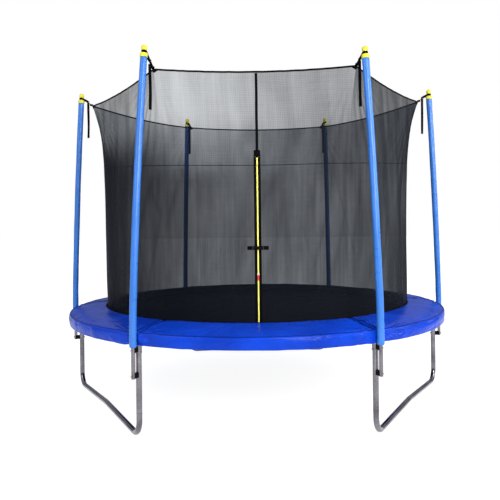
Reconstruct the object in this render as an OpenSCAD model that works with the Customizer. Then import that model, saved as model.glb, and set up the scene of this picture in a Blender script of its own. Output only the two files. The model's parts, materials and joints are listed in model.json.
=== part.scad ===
/* [Frame] */
// Radius of the top rail, to the middle of its tube
rail_r = 1500; // [1300:10:1900]
// Height of the middle of the top rail above the ground
rail_z = 636; // [600:1:760]
// Outside diameter of the rail, leg and base tubes
tube_d = 38; // [32:1:42]
// Wall thickness of the rail, leg and base tubes
tube_wall = 1.5; // [1:0.1:2.5]
// Height of the seam between a leg and its base
base_seam_z = 163; // [130:1:200]
// Bend radius of a base's corners, to the middle of the tube
base_bend_r = 100; // [80:1:110]
// How far the middle of a base rises above its two low points
base_rise = 24; // [10:1:40]
// Length of a rail socket's sleeve to each side of the leg
socket_reach = 58; // [40:1:70]
// Height of the lower end of a rail socket
socket_low_z = 545; // [530:1:560]

/* [Enclosure poles] */
// Radius of the circle the poles stand on
pole_r = 1552; // [1550:1:1560]
// Outside diameter of a pole tube
pole_d = 25; // [22:1:28]
// Wall thickness of a pole tube
pole_wall = 1.2; // [1:0.1:2]
// Height of a pole's lower end
pole_low_z = 392; // [360:1:400]
// Height where the foam sleeve starts and the pole starts to curve inward
sleeve_low_z = 590; // [588:1:600]
// Length of foam sleeve on each pole, as far as each pole is pushed through its clamps
sleeve_length = [1817, 1820, 1825, 1819, 1855, 1822]; // [1700:1:1900]
// Outside diameter of a foam sleeve
sleeve_d = 48; // [40:1:49]
// How far the net's pull bends the top of each pole inward
pole_flex = [62, 52, 100, 70, 134, 112]; // [40:1:150]
// Height of the lower clamp between pole and leg
clamp_low_z = 410; // [405:1:430]
// Height of the upper clamp between pole and socket
clamp_high_z = 572; // [565:1:573]

/* [Pad] */
// Inner radius of the spring pad
pad_in_r = 1243; // [1200:1:1280]
// Outer radius of the spring pad
pad_out_r = 1527; // [1526:1:1530]
// Height of the pad's top at its outer edge
pad_top_z = 682; // [675:1:700]
// Height of the pad's top at its inner edge
pad_in_top_z = 720; // [690:1:730]
// Height of the lower edge of the pad's skirt
skirt_low_z = 592; // [580:1:620]

/* [Jumping mat] */
// Radius of the jumping mat
mat_r = 1300; // [1280:1:1310]
// Thickness of the mat with its hem
mat_t = 3; // [2:0.5:4]
// Springs between the mat and the rail
spring_count = 60; // [48:12:72]
// Outside diameter of a spring
spring_d = 20; // [16:1:22]

/* [Safety net] */
// Radius of the net at its lower edge
net_r = 1238; // [1200:1:1239]
// Height of the net's lower edge
net_low_z = 644; // [643:1:660]
// Height of the net's top corners
net_top_z = 2384; // [2300:1:2400]
// How far a top corner of the net stays inside its pole
net_reach = 95; // [70:1:120]
// Sag of the net's rim between two corners
rim_sag = 28; // [0:1:60]
// Thickness of the net solid
net_t = 2.5; // [1.5:0.5:3]
// Height where the net starts to flare out to the poles
flare_z = 1400; // [1000:10:1800]
// Length of the hanging end of each corner strap
tail_length = 300; // [200:10:350]
// Width of the corner straps
strap_w = 20; // [15:1:25]

/* [Door] */
// Place of the zip beside the middle of the front panel
zip_x = 15; // [-100:1:100]
// Height of the zip's lower end
zip_low_z = 700; // [695:1:760]
// Height of the zip's upper end
zip_high_z = 1796; // [1500:1:1900]
// Height of the top of the zip's slider
slider_z = 1034; // [800:1:1150]
// Height of the buckle across the zip
buckle_z = 1199; // [1190:1:1400]

/* [Hidden] */
SIDES = 6;
STEP_A = 360 / SIDES;

STEEL = [0.66, 0.67, 0.68];
FOAM_BLUE = [0.22, 0.47, 0.88];
PAD_BLUE = [0.10, 0.28, 0.80];
YELLOW = [0.86, 0.82, 0.12];
BLACK = [0.06, 0.06, 0.07];
NET_GREY = [0.13, 0.13, 0.14];
RED = [0.80, 0.10, 0.08];
FINE = 48;
LONG_ARC = 2880;
tube_r = tube_d / 2;
bore_r = tube_r - tube_wall;
fit_gap = 0.2;
// The half gap between two tube ends or two pad sections that meet at a leg
end_gap = 2;

// Rail sockets: a straight sleeve over the rail's gentle curve, and a stub for the leg
sleeve_bore_r = tube_r + 1.3;
socket_r = tube_r + 3.5;
stub_r = tube_r + 2.5;
leg_top_z = rail_z - tube_r - 6;

// Base: a vertical stub, a corner, a rising straight run and a soft bend in the middle
base_span = rail_r;
base_slope = atan2(base_rise, base_span / 2 - base_bend_r);
base_mid_r = 400;
base_bend_z = tube_r + base_bend_r;
base_run = (base_span / 2 - base_mid_r * sin(base_slope) - base_bend_r * (1 + sin(base_slope)))
    / cos(base_slope);
spigot_length = 70;

// Pole shape: straight to the sleeve's start, then a short tight arc and a long slack one
bend1_length = 300;
slope_growth = 2.1;
section_gap = 0.2;
function bend2_length(i) = sleeve_length[i] - bend1_length;
function bend1_a(i) = pole_flex[i] / (bend1_length / 2 + bend2_length(i)
    + (slope_growth - 1) * bend2_length(i) / 2) * 180 / PI;
function bend2_a(i) = bend1_a(i) * (slope_growth - 1);
function bend1_r(i) = bend1_length / bend1_a(i) * 180 / PI;
function bend2_r(i) = bend2_length(i) / bend2_a(i) * 180 / PI;
function joint_x(i) = pole_r - bend1_r(i) * (1 - cos(bend1_a(i)));
function joint_z(i) = sleeve_low_z + bend1_r(i) * sin(bend1_a(i));
function top_a(i) = bend1_a(i) + bend2_a(i);
function top_x(i) = joint_x(i) - bend2_r(i) * (cos(bend1_a(i)) - cos(top_a(i)));
function top_z(i) = joint_z(i) + bend2_r(i) * (sin(top_a(i)) - sin(bend1_a(i)));

// Cap: a collar over the sleeve's end, a neck for the strap and a ball
collar_h = 26;
collar_d = 52;
neck_h = 21;
neck_d = 30;
ball_r = 20.5;

// Clamps
spacer_h = 30;
spacer_w = 26;
bolt_r = 3;
head_r = 6.5;

// Pad
pad_low_z = rail_z + socket_r + 1.5;
pad_in_low_z = pad_low_z + 8;
skirt_t = pad_out_r - rail_r - socket_r - 1;
notch_r = sleeve_d / 2 + 3;

// Mat, rings and springs
mat_z = rail_z + 4;
spring_a = 360 / spring_count;
ring_in_r = mat_r + 4.5;
ring_out_r = mat_r + 28;
ring_half_w = 16;
ring_wire = 4;
hook_wire = 3.2;
coil_in_r = ring_out_r + 14;
coil_out_r = rail_r - tube_r - 18;

// Net
net_rows = 14;
net_columns = 12;
function corner_r(i) = top_x(i % SIDES) - net_reach;
function corner(i) = corner_r(i) * [cos(STEP_A * i), sin(STEP_A * i)];
function bump(s) = 4 * s * (1 - s);
function flare(z) = pow(max(0, (z - flare_z) / (net_top_z - flare_z)), 2.2);
function rim_z(s) = net_top_z - rim_sag * bump(s);
function net_z(s, v) = net_low_z + v * (rim_z(s) - net_low_z);
function net_pull(s, v) = flare(net_z(s, v)) * (1 - bump(s)) + v * bump(s);
function net_circle(i, s) = net_r * [cos(STEP_A * (i + s)), sin(STEP_A * (i + s))];
function net_chord(i, s) = corner(i) * (1 - s) + corner(i + 1) * s;
function net_plan(i, s, v) = net_circle(i, s) * (1 - net_pull(s, v)) + net_chord(i, s) * net_pull(s, v);
function net_point(i, s, v, off) = let (p = net_plan(i, s, v), r = norm(p))
    [p.x * (1 + off / r), p.y * (1 + off / r), net_z(s, v)];

// Corner straps: from just above the net's corner up to the cap, with a knot part of the way
strap_t = 1.6;
strap_lift = 12;
knot_share = 0.45;
knot_r = 10;
tail_start_z = net_top_z + 26;
function knot_x(i) = corner_r(i) + knot_share * (top_x(i) - neck_d / 2 - corner_r(i));

// How far each hanging strap end is turned from facing outward
tail_turn = [90, 30, -30, 90, 30, -30];

// Door: its parts lie in a frame that leans inward with the middle of the front panel
FRONT = 4;
front_mid_r = -net_chord(FRONT, 0.5).y;
zip_lean = atan2(net_r - front_mid_r, rim_z(0.5) - net_low_z);
function along(z) = (z - net_low_z) / cos(zip_lean);
zip_w = 36;
coil_w = 12;
slider_h = 16;
puller_length = 42;
puller_pivot_z = slider_z - 8;
buckle_y = -21;
housing_x = [-40, 14];
clip_x = [16, 42];
buckle_h = 26;
buckle_d = 9;
// From a buckle half's outer end to its webbing slot, and the slot's width
web_bar = 4;
web_slot = 4;
tape_t = 1.2;
coil_t = 3.6;

module ring2d(outer, inner) {
    difference() {
        circle(r = outer, $fn = FINE);
        circle(r = inner, $fn = FINE);
    }
}

module at_pole(i) {
    rotate([0, 0, STEP_A * i])
        children();
}

module straight_tube(outer, inner, length) {
    linear_extrude(length)
        ring2d(outer, inner);
}

// A bend in the XZ plane that starts at the origin going up and turns towards -X
module bent_tube(outer, inner, bend, angle) {
    translate([-bend, 0, 0])
        rotate([90, 0, 0])
            rotate_extrude(angle = angle, $fn = LONG_ARC)
                translate([bend, 0])
                    ring2d(outer, inner);
}

// The curved length of pole i in its two sections, swept with a ring
module pole_curve(i, outer, inner) {
    seam_a = section_gap / bend1_r(i) * 180 / PI;
    translate([pole_r, 0, sleeve_low_z])
        bent_tube(outer, inner, bend1_r(i), bend1_a(i) - seam_a);
    translate([joint_x(i), 0, joint_z(i)])
        rotate([0, -bend1_a(i), 0])
            bent_tube(outer, inner, bend2_r(i), bend2_a(i));
}

// Moves to the top of pole i, with +Z along the pole
module at_pole_top(i) {
    at_pole(i)
        translate([top_x(i), 0, top_z(i)])
            rotate([0, -top_a(i), 0])
                children();
}

module top_rail(i) {
    gap_a = end_gap / rail_r * 180 / PI;
    color(STEEL)
        translate([0, 0, rail_z])
            rotate([0, 0, STEP_A * i + gap_a])
                rotate_extrude(angle = STEP_A - 2 * gap_a, $fn = LONG_ARC)
                    translate([rail_r, 0])
                        ring2d(tube_r, bore_r);
}

module rail_sockets() {
    color(STEEL)
        for (i = [0 : SIDES - 1])
            at_pole(i)
                difference() {
                    union() {
                        translate([rail_r - 0.5, -socket_reach, rail_z])
                            rotate([-90, 0, 0])
                                cylinder(r = socket_r, h = 2 * socket_reach, $fn = FINE);
                        translate([rail_r, 0, socket_low_z])
                            cylinder(r = stub_r, h = rail_z - socket_low_z, $fn = FINE);
                    }
                    translate([rail_r - 0.5, -2 * socket_reach, rail_z])
                        rotate([-90, 0, 0])
                            cylinder(r = sleeve_bore_r, h = 4 * socket_reach, $fn = FINE);
                    translate([rail_r, 0, socket_low_z - 1])
                        cylinder(r = tube_r + fit_gap, h = leg_top_z - socket_low_z + 3, $fn = FINE);
                }
}

module leg(i) {
    bead_h = 3;
    color(STEEL)
        at_pole(i)
            translate([rail_r, 0, base_seam_z]) {
                straight_tube(tube_r, bore_r, leg_top_z - base_seam_z);
                straight_tube(tube_r + 1, bore_r, bead_h);
            }
}

module w_base_half() {
    translate([0, 0, base_bend_z])
        straight_tube(tube_r, bore_r, base_seam_z - base_bend_z - 0.5);
    translate([0, 0, base_bend_z])
        straight_tube(bore_r - fit_gap, bore_r - fit_gap - tube_wall,
            base_seam_z - base_bend_z + spigot_length);
    rotate([0, 0, 180])
        mirror([0, 0, 1])
            translate([0, 0, -base_bend_z])
                bent_tube(tube_r, bore_r, base_bend_r, 90 + base_slope);
    translate([base_bend_r * (1 + sin(base_slope)), 0, base_bend_z - base_bend_r * cos(base_slope)])
        rotate([0, 90 - base_slope, 0])
            straight_tube(tube_r, bore_r, base_run);
}

// A base joins legs i and i + 1
module w_base(i) {
    mid_z = base_bend_z - base_bend_r * cos(base_slope) + base_run * sin(base_slope);
    color(STEEL)
        at_pole(i)
            translate([rail_r, 0, 0])
                rotate([0, 0, 90 + STEP_A / 2]) {
                    w_base_half();
                    translate([base_span, 0, 0])
                        mirror([1, 0, 0])
                            w_base_half();
                    translate([base_span / 2 - base_mid_r * sin(base_slope), 0, mid_z])
                        rotate([0, 90 - base_slope, 0])
                            mirror([1, 0, 0])
                                bent_tube(tube_r, bore_r, base_mid_r, 2 * base_slope);
                }
}

module pole(i) {
    plug_h = 4;
    color(STEEL)
        at_pole(i) {
            translate([pole_r, 0, pole_low_z])
                straight_tube(pole_d / 2, pole_d / 2 - pole_wall, sleeve_low_z - pole_low_z - section_gap);
            translate([pole_r, 0, pole_low_z])
                cylinder(r = pole_d / 2, h = plug_h, $fn = FINE);
            pole_curve(i, pole_d / 2, pole_d / 2 - pole_wall);
        }
}

module pole_sleeve(i) {
    color(FOAM_BLUE)
        at_pole(i)
            pole_curve(i, sleeve_d / 2, pole_d / 2 + fit_gap);
}

module pole_cap(i) {
    color(YELLOW)
        at_pole_top(i) {
            translate([0, 0, fit_gap])
                cylinder(d = collar_d, h = collar_h, $fn = FINE);
            cylinder(d = neck_d, h = collar_h + neck_h + ball_r / 2, $fn = FINE);
            translate([0, 0, collar_h + neck_h + ball_r - 5])
                sphere(r = ball_r, $fn = FINE);
        }
}

// A plastic saddle between the pole and a round part of the given radius
module clamp_spacer(i, z, inner) {
    at_pole(i)
        difference() {
            translate([rail_r, -spacer_w / 2, z - spacer_h / 2])
                cube([pole_r - rail_r, spacer_w, spacer_h]);
            translate([rail_r, 0, z - spacer_h])
                cylinder(r = inner + fit_gap, h = 2 * spacer_h, $fn = FINE);
            translate([pole_r, 0, z - spacer_h])
                cylinder(r = pole_d / 2 + fit_gap, h = 2 * spacer_h, $fn = FINE);
        }
}

module clamp_spacers() {
    color(BLACK)
        for (i = [0 : SIDES - 1]) {
            clamp_spacer(i, clamp_low_z, tube_r);
            clamp_spacer(i, clamp_high_z, stub_r);
        }
}

// A bolt along +X with its head at x = 0 and its nut at the far end
module bolt(length) {
    head_h = 5;
    rotate([0, 90, 0]) {
        translate([0, 0, -head_h])
            cylinder(r = head_r, h = head_h, $fn = FINE);
        translate([0, 0, -head_h])
            cylinder(r = bolt_r, h = length + 2 * head_h, $fn = FINE);
        translate([0, 0, length])
            cylinder(r = head_r - 1, h = head_h, $fn = 6);
    }
}

module frame_bolts() {
    screw_z = socket_low_z + 12;
    color(STEEL)
        for (i = [0 : SIDES - 1])
            at_pole(i) {
                for (c = [[clamp_low_z, tube_r], [clamp_high_z, stub_r]])
                    translate([pole_r + pole_d / 2, 0, c[0]])
                        rotate([0, 0, 180])
                            bolt(pole_r - rail_r + pole_d / 2 + c[1]);
                translate([rail_r, -stub_r, screw_z])
                    rotate([0, 0, 90])
                        bolt(2 * stub_r);
            }
}

// A padded ring section with its hanging skirt, between poles i and i + 1
module pad(i) {
    gap_a = end_gap / pad_in_r * 180 / PI;
    color(PAD_BLUE)
        difference() {
            rotate([0, 0, STEP_A * i + gap_a])
                rotate_extrude(angle = STEP_A - 2 * gap_a, $fn = LONG_ARC)
                    polygon([[pad_in_r, pad_in_low_z], [pad_in_r, pad_in_top_z], [pad_out_r, pad_top_z],
                        [pad_out_r, skirt_low_z], [pad_out_r - skirt_t, skirt_low_z],
                        [pad_out_r - skirt_t, pad_low_z]]);
            for (k = [i, i + 1])
                at_pole(k)
                    translate([pole_r - 1, 0, skirt_low_z - 1])
                        cylinder(r = notch_r, h = pad_top_z - skirt_low_z + 2, $fn = FINE);
        }
}

module jump_mat() {
    color(BLACK)
        translate([0, 0, mat_z - mat_t / 2])
            cylinder(r = mat_r, h = mat_t, $fn = 180);
}

// A triangle with its long side along the mat's edge, smaller all round by the given inset
module ring_outline(inset) {
    slant = norm([ring_out_r - ring_in_r, ring_half_w]);
    side_in = inset * (slant + ring_half_w) / (ring_out_r - ring_in_r);
    tip_in = inset * slant / ring_half_w;
    polygon([[ring_in_r + inset, -ring_half_w + side_in], [ring_out_r - tip_in, 0],
        [ring_in_r + inset, ring_half_w - side_in]]);
}

// Triangular wire rings that join the mat's edge to the springs
module mat_rings() {
    color(STEEL)
        for (k = [0 : spring_count - 1])
            rotate([0, 0, spring_a * (k + 0.5)])
                translate([0, 0, mat_z - ring_wire / 2])
                    linear_extrude(ring_wire)
                        difference() {
                            ring_outline(0);
                            ring_outline(ring_wire);
                        }
}

// A straight round bar along +X at the mat's height
module bar(x0, x1, thick) {
    translate([x0, 0, mat_z])
        rotate([0, 90, 0])
            cylinder(d = thick, h = x1 - x0, $fn = 24);
}

module springs() {
    color(STEEL)
        for (k = [0 : spring_count - 1])
            rotate([0, 0, spring_a * (k + 0.5)]) {
                bar(coil_in_r, coil_out_r, spring_d);
                bar(ring_out_r + fit_gap, coil_in_r + 1, hook_wire);
                bar(coil_out_r - 1, rail_r - tube_r - 0.6, hook_wire);
            }
}

// A thin curved sheet between poles i and i + 1
module net_sheet(i) {
    nc = net_columns + 1;
    nr = net_rows + 1;
    half = nc * nr;
    points = [for (side = [0.5, -0.5]) for (r = [0 : net_rows]) for (c = [0 : net_columns])
        net_point(i, 0.002 + 0.996 * c / net_columns, r / net_rows, side * net_t)];
    out_faces = [for (r = [0 : net_rows - 1]) for (c = [0 : net_columns - 1])
        let (a = r * nc + c) each [[a, a + nc, a + nc + 1], [a, a + nc + 1, a + 1]]];
    in_faces = [for (f = out_faces) [half + f[2], half + f[1], half + f[0]]];
    bottom = [for (c = [0 : net_columns - 1]) each [[c, c + 1, half + c + 1], [c, half + c + 1, half + c]]];
    top_row = net_rows * nc;
    top = [for (c = [top_row : top_row + net_columns - 1])
        each [[c, half + c + 1, c + 1], [c, half + c, half + c + 1]]];
    left = [for (r = [0 : net_rows - 1]) let (a = r * nc)
        each [[a, half + a, half + a + nc], [a, half + a + nc, a + nc]]];
    right = [for (r = [0 : net_rows - 1]) let (a = r * nc + net_columns)
        each [[a, half + a + nc, half + a], [a, a + nc, half + a + nc]]];
    polyhedron(points = points, faces = concat(out_faces, in_faces, bottom, top, left, right));
}

module at_door() {
    translate([zip_x, -net_r, net_low_z])
        rotate([-zip_lean, 0, 0])
            children();
}

module net_panel(i) {
    color(NET_GREY)
        if (i == FRONT)
            difference() {
                net_sheet(i);
                at_door()
                    translate([-zip_w / 2 - 1, -10, along(zip_low_z)])
                        cube([zip_w + 2, 20, along(zip_high_z) - along(zip_low_z)]);
            }
        else
            net_sheet(i);
}

// A binding tape folded over the net's rim, and the tapes and patches sewn round the door
module net_bindings() {
    half_h = 9;
    lift = 3;
    color(BLACK) {
        for (i = [0 : SIDES - 1])
            for (c = [0 : net_columns - 1])
                rim_piece(i, c / net_columns, (c + 1) / net_columns, half_h);
        at_door() {
            translate([-7, -lift, along(zip_high_z) + 1])
                cube([14, 1.5, along(rim_z(0.5)) - along(zip_high_z) - 2 * half_h]);
            translate([-20, -lift - 1.6, along(zip_high_z) + 1])
                cube([40, 1.5, 40]);
            for (x = [-66, 46])
                translate([x, -lift, along(buckle_z) - strap_w / 2])
                    cube([20, 1.5, strap_w]);
        }
    }
}

module rim_piece(i, s0, s1, half_h) {
    a = net_point(i, s0, 1, 0);
    b = net_point(i, s1, 1, 0);
    d = b - a;
    flat = norm([d.x, d.y]);
    translate([a.x, a.y, a.z + 1.5])
        rotate([0, -atan2(d.z, flat), atan2(d.y, d.x)])
            translate([-0.3, -1.5, 0])
                cube([norm(d) + 0.6, 3, half_h]);
}

// Around each cap's neck a loop, a short strap to the net's corner and a knot half way
module net_straps() {
    loop_z = collar_h + fit_gap + 1;
    color(BLACK)
        for (i = [0 : SIDES - 1]) {
            drop = top_z(i) + collar_h + neck_h / 2 - net_top_z - strap_lift;
            run = top_x(i) - neck_d / 2 - 6 - corner_r(i);
            at_pole_top(i)
                translate([0, 0, loop_z])
                    straight_tube(neck_d / 2 + 2.5, neck_d / 2 + fit_gap, neck_h - 5);
            at_pole(i) {
                translate([corner_r(i), -strap_w / 2, net_top_z + strap_lift])
                    rotate([0, -atan2(drop, run), 0])
                        cube([norm([drop, run]), strap_w, strap_t]);
                translate([knot_x(i), 0, net_top_z + strap_lift + drop * knot_share])
                    sphere(r = knot_r, $fn = FINE);
            }
        }
}

module strap_tails() {
    color(BLACK)
        for (i = [0 : SIDES - 1])
            at_pole(i)
                translate([knot_x(i), 0, tail_start_z - tail_length])
                    rotate([0, 0, tail_turn[i]])
                        translate([-strap_t / 2, -strap_w / 2, 0])
                            cube([strap_t, strap_w, tail_length]);
}

module zip_strip(x0, x1, thick, low, high) {
    at_door()
        translate([x0, -thick / 2, along(low)])
            cube([x1 - x0, thick, along(high) - along(low)]);
}

module zip_tapes() {
    color(BLACK)
        for (x = [-zip_w / 2, coil_w / 2 + 0.3])
            zip_strip(x, x + (zip_w - coil_w) / 2 - 0.3, tape_t, zip_low_z + 1, zip_high_z - 1);
}

module zip_coil() {
    color(YELLOW)
        zip_strip(-coil_w / 2, coil_w / 2, coil_t, zip_low_z + 1, zip_high_z - 1);
}

// The slider's plate and the bridge that holds the puller
module zip_slider() {
    color([0.85, 0.85, 0.85])
        at_door() {
            translate([-7, -5, along(slider_z) - slider_h])
                cube([14, 2.6, slider_h]);
            for (x = [-5.5, 3.5])
                translate([x, -8, along(puller_pivot_z) - 2.5])
                    cube([2, 3.5, 5]);
        }
}

module zip_puller() {
    color(RED)
        at_door()
            translate([0, -7, along(puller_pivot_z)]) {
                translate([-3.2, 0, 0])
                    rotate([0, 90, 0])
                        cylinder(r = 1, h = 6.4, $fn = FINE);
                translate([-3, -1, -6])
                    cube([6, 1.6, 6]);
                translate([-5.5, -1.6, 4 - puller_length])
                    cube([11, 2.2, puller_length - 10]);
            }
}

// The slot in a buckle half that its webbing passes through
module web_slot(x) {
    translate([x, -1, 3 - buckle_h / 2])
        cube([web_slot, buckle_d + 2, buckle_h - 6]);
}

module buckle_housing() {
    wall = 2;
    color(BLACK)
        at_door()
            translate([0, buckle_y, along(buckle_z)])
                difference() {
                    translate([housing_x[0], 0, -buckle_h / 2])
                        cube([housing_x[1] - housing_x[0], buckle_d, buckle_h]);
                    translate([housing_x[0] + 2 * web_bar + web_slot + wall, wall, wall - buckle_h / 2])
                        cube([housing_x[1] - housing_x[0], buckle_d - 2 * wall, buckle_h - 2 * wall]);
                    web_slot(housing_x[0] + web_bar);
                }
}

module buckle_clip() {
    prong_t = 4;
    prong_reach = 30;
    color(BLACK)
        at_door()
            translate([0, buckle_y, along(buckle_z)]) {
                difference() {
                    translate([clip_x[0], 0, -buckle_h / 2])
                        cube([clip_x[1] - clip_x[0], buckle_d, buckle_h]);
                    web_slot(clip_x[1] - web_bar - web_slot);
                }
                for (z = [-7.5, 0, 7.5])
                    translate([clip_x[0] - prong_reach, (buckle_d - prong_t) / 2, z - prong_t / 2])
                        cube([prong_reach + 1, prong_t, prong_t]);
            }
}

top_rail(0);  // top_rail_1
top_rail(1);  // top_rail_2
top_rail(2);  // top_rail_3
top_rail(3);  // top_rail_4
top_rail(4);  // top_rail_5
top_rail(5);  // top_rail_6
rail_sockets();
leg(0);  // leg_1
leg(1);  // leg_2
leg(2);  // leg_3
leg(3);  // leg_4
leg(4);  // leg_5
leg(5);  // leg_6
w_base(1);  // w_base_1
w_base(3);  // w_base_2
w_base(5);  // w_base_3
pole(0);  // pole_1
pole(1);  // pole_2
pole(2);  // pole_3
pole(3);  // pole_4
pole(4);  // pole_5
pole(5);  // pole_6
pole_sleeve(0);  // pole_sleeve_1
pole_sleeve(1);  // pole_sleeve_2
pole_sleeve(2);  // pole_sleeve_3
pole_sleeve(3);  // pole_sleeve_4
pole_sleeve(4);  // pole_sleeve_5
pole_sleeve(5);  // pole_sleeve_6
pole_cap(0);  // pole_cap_1
pole_cap(1);  // pole_cap_2
pole_cap(2);  // pole_cap_3
pole_cap(3);  // pole_cap_4
pole_cap(4);  // pole_cap_5
pole_cap(5);  // pole_cap_6
clamp_spacers();
frame_bolts();
pad(0);  // pad_1
pad(1);  // pad_2
pad(2);  // pad_3
pad(3);  // pad_4
pad(4);  // pad_5
pad(5);  // pad_6
jump_mat();
mat_rings();
springs();
net_panel(0);  // net_panel_1
net_panel(1);  // net_panel_2
net_panel(2);  // net_panel_3
net_panel(3);  // net_panel_4
net_panel(4);  // net_panel_5
net_panel(5);  // net_panel_6
net_bindings();
net_straps();
strap_tails();
zip_tapes();
zip_coil();
zip_slider();
zip_puller();
buckle_housing();
buckle_clip();
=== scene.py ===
import json
import math

import bpy
import numpy as np
from mathutils import Matrix, Vector

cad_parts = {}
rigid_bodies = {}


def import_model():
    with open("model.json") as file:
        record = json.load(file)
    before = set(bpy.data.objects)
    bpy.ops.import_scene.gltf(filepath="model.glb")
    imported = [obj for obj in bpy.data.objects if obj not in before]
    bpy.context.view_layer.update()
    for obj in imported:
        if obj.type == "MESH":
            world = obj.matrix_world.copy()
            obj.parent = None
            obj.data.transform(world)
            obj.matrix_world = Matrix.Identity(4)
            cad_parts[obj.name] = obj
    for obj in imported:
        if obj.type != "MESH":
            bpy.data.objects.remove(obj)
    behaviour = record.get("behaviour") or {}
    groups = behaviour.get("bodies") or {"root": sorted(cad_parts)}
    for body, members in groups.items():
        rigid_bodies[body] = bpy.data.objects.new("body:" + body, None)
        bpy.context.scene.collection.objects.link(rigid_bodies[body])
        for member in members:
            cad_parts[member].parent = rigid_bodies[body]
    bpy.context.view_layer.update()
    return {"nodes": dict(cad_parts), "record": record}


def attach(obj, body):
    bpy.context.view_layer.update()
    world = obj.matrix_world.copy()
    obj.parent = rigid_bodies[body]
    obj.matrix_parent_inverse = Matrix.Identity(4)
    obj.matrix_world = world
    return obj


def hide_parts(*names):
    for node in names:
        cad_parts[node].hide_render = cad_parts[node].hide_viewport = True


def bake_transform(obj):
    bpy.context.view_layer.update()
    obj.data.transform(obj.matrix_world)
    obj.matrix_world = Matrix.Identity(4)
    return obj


for leftover in list(bpy.data.objects):
    bpy.data.objects.remove(leftover)
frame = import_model()
scene = bpy.context.scene
scene.view_settings.view_transform = "Standard"

# ------------ camera
camera_data = bpy.data.cameras.new("camera")
camera_data.lens = 42.22
camera_data.sensor_width = 36.0
camera_data.shift_x = -0.01204
camera_data.shift_y = -0.0488
camera = bpy.data.objects.new("camera", camera_data)
scene.collection.objects.link(camera)
camera.matrix_world = (
    Matrix.Translation((0.0145, -5.0138, 1.344))
    @ Matrix.Rotation(0.0029, 4, "Z")
    @ Matrix.Rotation(math.pi / 2, 4, "X")
    @ Matrix.Rotation(-0.012, 4, "Z")
)
scene.camera = camera

# ------------ sizes of the design, in metres
SIDES = 6
STEP = math.pi / 3
FRONT = 4  # the net panel with the door
POLE_R, SLEEVE_LOW, SLEEVE_R = 1.552, 0.590, 0.024
# Each pole curves inwards in two arcs: the first BEND1 long, the second turning GROWTH times as far.
BEND1, GROWTH = 0.300, 1.1
SLEEVE_LENGTH = [1.817, 1.820, 1.825, 1.819, 1.855, 1.822]
FLEX = [0.062, 0.052, 0.100, 0.070, 0.134, 0.112]  # how far in each pole's top stands
MAT_R, MAT_Z, MAT_T = 1.300, 0.640, 0.003
SPRINGS = 60
NET_R, NET_LOW, NET_TOP = 1.238, 0.644, 2.384
NET_REACH, RIM_SAG, FLARE_Z = 0.095, 0.028, 1.400
NET_W, CHORD = 1.3, 1.25  # a net panel's width along its foot's arc, and across
TAIL_LENGTH, STRAP_W = 0.300, 0.020
TAIL_TURN = [90, 30, -30, 90, 30, -30]  # degrees each hanging end's face is turned from its pole
ZIP_X, ZIP_LOW, ZIP_HIGH = 0.015, 0.700, 1.796
ZIP_HALF = 0.0172  # half of the slit's width behind the zip
SLIDER_Z, SLIDER_H = 1.034, 0.016
BUCKLE_Z, BUCKLE_Y = 1.199, -0.021
COLLAR_H, COLLAR_R, NECK_H, NECK_R, BALL_R = 0.026, 0.026, 0.021, 0.015, 0.0205


# ------------ helpers
class Noise:
    """Smooth repeatable value noise on numpy arrays."""

    def __init__(self, seed):
        self.table = np.random.default_rng(seed).random((128, 128)) * 2 - 1

    def __call__(self, u, v):
        u, v = np.asarray(u, float), np.asarray(v, float)
        iu, iv = np.floor(u).astype(int), np.floor(v).astype(int)
        fu, fv = u - iu, v - iv
        fu, fv = fu * fu * (3 - 2 * fu), fv * fv * (3 - 2 * fv)
        t = lambda a, b: self.table[a % 128, b % 128]
        low = t(iu, iv) * (1 - fu) + t(iu + 1, iv) * fu
        high = t(iu, iv + 1) * (1 - fu) + t(iu + 1, iv + 1) * fu
        return low * (1 - fv) + high * fv

    def octaves(self, u, v, count=3):
        return sum(self(u * 2**k + 17.3 * k, v * 2**k + 5.1 * k) / 2**k for k in range(count))


def smooth(t, low=0.0, high=1.0):
    t = np.clip((np.asarray(t, float) - low) / (high - low), 0, 1)
    return t * t * (3 - 2 * t)


def ridged(value, power=3.0):
    """Sharp crests where a noise passes through zero."""
    return (1 - np.abs(np.clip(value, -1, 1))) ** power


def unit(v):
    v = np.asarray(v, float)
    return v / np.maximum(np.linalg.norm(v, axis=-1, keepdims=True), 1e-12)


def xyz(x, y, z):
    """Points from their coordinates, each an array or one number for all."""
    return np.stack(np.broadcast_arrays(x, y, z), -1)


def turn_z(points, angle):
    c, s = math.cos(angle), math.sin(angle)
    p = np.asarray(points, float)
    return xyz(p[..., 0] * c - p[..., 1] * s, p[..., 0] * s + p[..., 1] * c, p[..., 2])


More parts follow.
